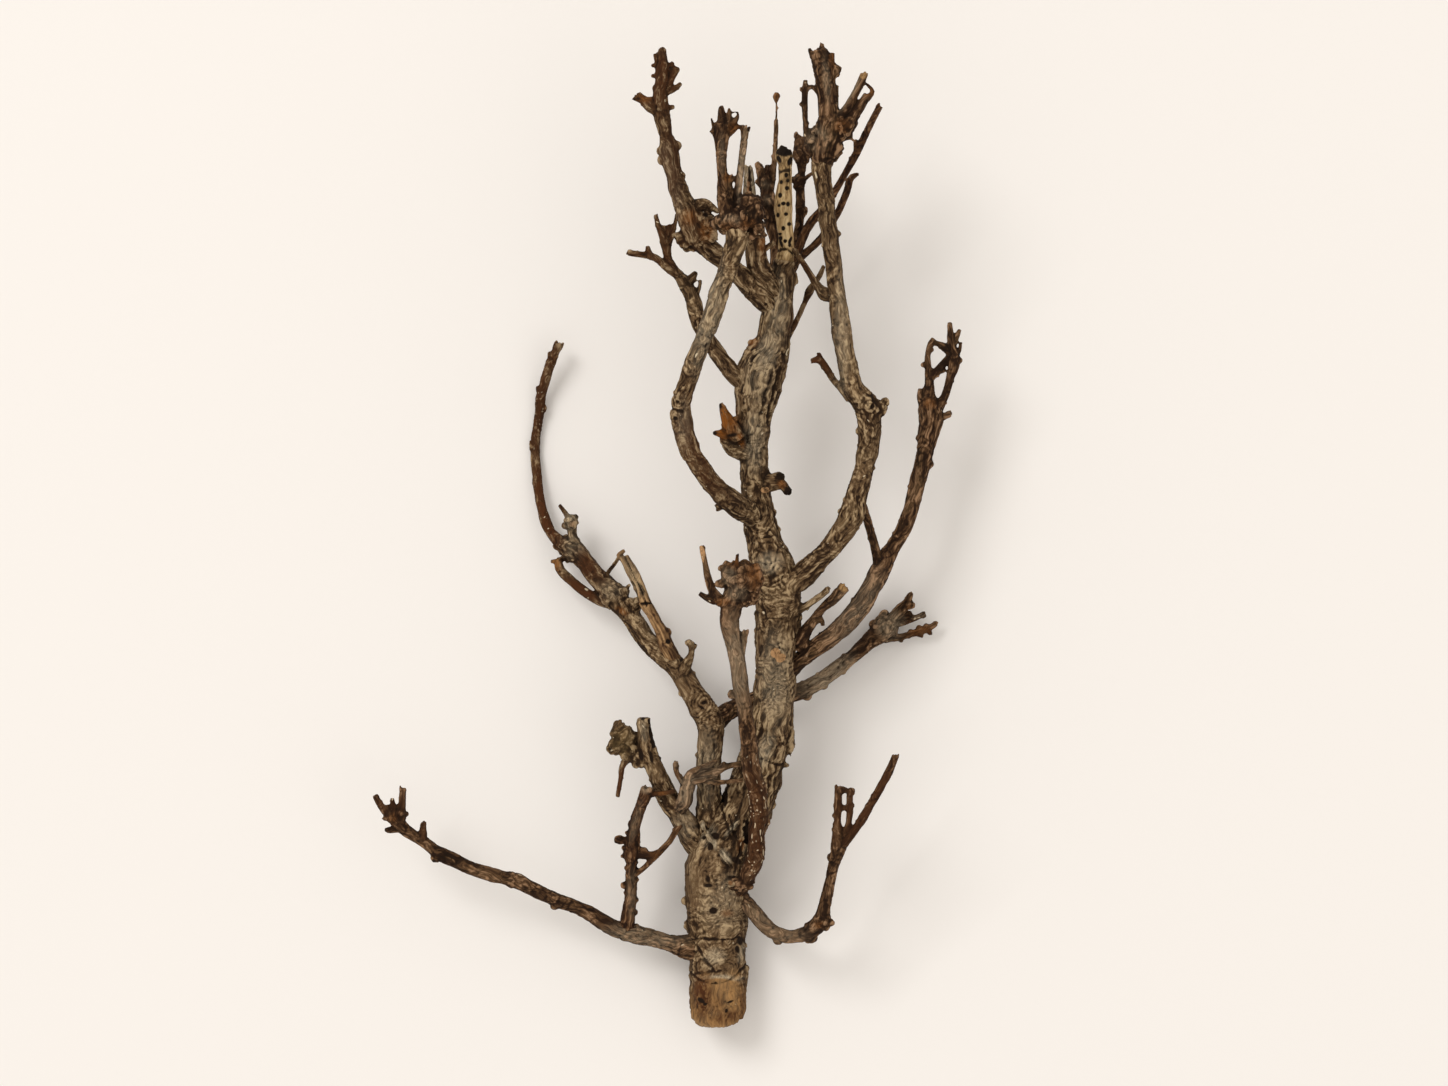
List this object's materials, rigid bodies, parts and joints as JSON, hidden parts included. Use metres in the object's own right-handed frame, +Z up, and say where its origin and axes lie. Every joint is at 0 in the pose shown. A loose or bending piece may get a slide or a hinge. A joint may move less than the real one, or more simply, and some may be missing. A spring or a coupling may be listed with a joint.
{
  "type": "driftwood branch",
  "caption": "Weathered driftwood branch lying on its back: a sawn trunk that forks into long bent limbs with burrs, broken stubs and thin split twigs.",
  "frame": {"origin": "centre of the bounding box in X and Y, on the surface that the piece lies on", "axes": "+Y along the trunk from the sawn end to the branch tips, the longest extent; +X to the right as seen from above with the tips at the top; +Z up, the shortest extent"},
  "size_m": [0.2152, 0.3556, 0.0874],
  "materials": {
    "trunk_bark": "dry weathered grey-brown bark with fine lengthwise fissures",
    "brown_bark": "dry darker brown bark with ring wrinkles",
    "red_bark": "thin smooth reddish bark",
    "bare_wood": "pale bare wood, dry and matte, with dark specks"
  },
  "bodies": {
    "root": {"trunk": "trunk_bark", "bare_stub": "bare_wood", "low_left_branch": "brown_bark", "left_branch": "trunk_bark", "split_twig": "bare_wood", "left_stub_branch": "trunk_bark", "left_stub_twigs": "brown_bark", "low_left_twig": "red_bark", "hook_branch": "brown_bark", "right_low_branch": "brown_bark", "front_branch": "brown_bark", "right_arc_branch": "trunk_bark", "right_top_branch": "brown_bark", "right_outer_branch": "brown_bark", "front_arc_branch": "trunk_bark", "front_top_branch": "brown_bark", "inner_branch": "trunk_bark", "upper_left_branch": "trunk_bark", "thin_left_branch": "trunk_bark", "dark_upright_left": "brown_bark", "dark_upright_right": "brown_bark", "back_twig_upper": "red_bark", "back_twig_lower": "red_bark"}
  },
  "joints": []
}
